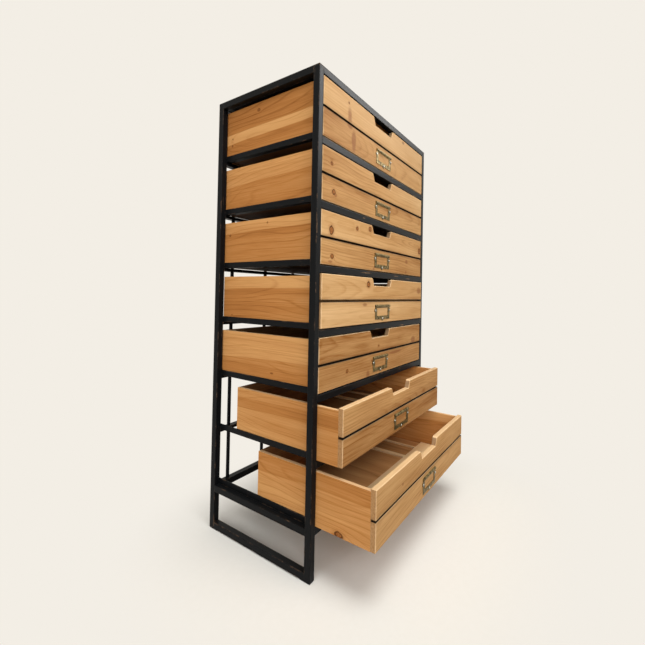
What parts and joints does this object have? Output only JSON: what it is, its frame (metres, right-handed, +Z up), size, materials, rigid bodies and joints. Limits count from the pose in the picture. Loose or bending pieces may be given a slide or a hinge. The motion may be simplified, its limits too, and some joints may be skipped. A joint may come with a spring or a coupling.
{
  "type": "chest of drawers",
  "caption": "Tall narrow chest of drawers: open frame of black square steel tube, pine drawers that slide on steel angles, notched fronts with brass label holders.",
  "frame": {"origin": "on the floor, under the middle of the chest's bounding box as it stands with drawers open", "axes": "+X to the right of someone facing the chest, +Y from the front to the back, +Z up"},
  "size_m": [0.798, 0.594, 1.403],
  "materials": {
    "steel": "dark oiled steel, worn at the edges",
    "pine_fronts": "waxed pine, honey coloured",
    "pine_boards": "plain pine, darker than the fronts",
    "brass": "antique brass",
    "pads": "matt"
  },
  "bodies": {
    "frame": {"legs": "steel", "top_rails": "steel", "base_rails": "steel", "floor_rails": "steel", "front_rails": "steel", "rear_rails": "steel", "drawer_runners": "steel", "rear_rods": "steel", "foot_pads": "pads", "top_boards": "pine_boards", "top_ledges": "steel"},
    "drawer_1": {"drawer_1_front_boards": "pine_fronts", "drawer_1_box_front": "pine_boards", "drawer_1_sides": "pine_boards", "drawer_1_back": "pine_boards", "drawer_1_bottom": "pine_boards", "drawer_1_floor_strips": "pine_boards", "drawer_1_label_holder": "brass"},
    "drawer_2": {"drawer_2_front_boards": "pine_fronts", "drawer_2_box_front": "pine_boards", "drawer_2_sides": "pine_boards", "drawer_2_back": "pine_boards", "drawer_2_bottom": "pine_boards", "drawer_2_floor_strips": "pine_boards", "drawer_2_label_holder": "brass"},
    "drawer_3": {"drawer_3_front_boards": "pine_fronts", "drawer_3_box_front": "pine_boards", "drawer_3_sides": "pine_boards", "drawer_3_back": "pine_boards", "drawer_3_bottom": "pine_boards", "drawer_3_floor_strips": "pine_boards", "drawer_3_label_holder": "brass"},
    "drawer_4": {"drawer_4_front_boards": "pine_fronts", "drawer_4_box_front": "pine_boards", "drawer_4_sides": "pine_boards", "drawer_4_back": "pine_boards", "drawer_4_bottom": "pine_boards", "drawer_4_floor_strips": "pine_boards", "drawer_4_label_holder": "brass"},
    "drawer_5": {"drawer_5_front_boards": "pine_fronts", "drawer_5_box_front": "pine_boards", "drawer_5_sides": "pine_boards", "drawer_5_back": "pine_boards", "drawer_5_bottom": "pine_boards", "drawer_5_floor_strips": "pine_boards", "drawer_5_label_holder": "brass"},
    "drawer_6": {"drawer_6_front_boards": "pine_fronts", "drawer_6_box_front": "pine_boards", "drawer_6_sides": "pine_boards", "drawer_6_back": "pine_boards", "drawer_6_bottom": "pine_boards", "drawer_6_floor_strips": "pine_boards", "drawer_6_label_holder": "brass"},
    "drawer_7": {"drawer_7_front_boards": "pine_fronts", "drawer_7_box_front": "pine_boards", "drawer_7_sides": "pine_boards", "drawer_7_back": "pine_boards", "drawer_7_bottom": "pine_boards", "drawer_7_floor_strips": "pine_boards", "drawer_7_label_holder": "brass"}
  },
  "joints": [
    {"name": "drawer_1_slide", "type": "slide", "parent": "frame", "child": "drawer_1", "axis": [0, -1, 0], "range_m": [0, 0.28]},
    {"name": "drawer_2_slide", "type": "slide", "parent": "frame", "child": "drawer_2", "axis": [0, -1, 0], "range_m": [0, 0.28]},
    {"name": "drawer_3_slide", "type": "slide", "parent": "frame", "child": "drawer_3", "axis": [0, -1, 0], "range_m": [0, 0.28]},
    {"name": "drawer_4_slide", "type": "slide", "parent": "frame", "child": "drawer_4", "axis": [0, -1, 0], "range_m": [-0.005, 0.275]},
    {"name": "drawer_5_slide", "type": "slide", "parent": "frame", "child": "drawer_5", "axis": [0, -1, 0], "range_m": [0, 0.28]},
    {"name": "drawer_6_slide", "type": "slide", "parent": "frame", "child": "drawer_6", "axis": [0, -1, 0], "range_m": [-0.081, 0.199]},
    {"name": "drawer_7_slide", "type": "slide", "parent": "frame", "child": "drawer_7", "axis": [0, -1, 0], "range_m": [-0.179, 0.101]}
  ]
}
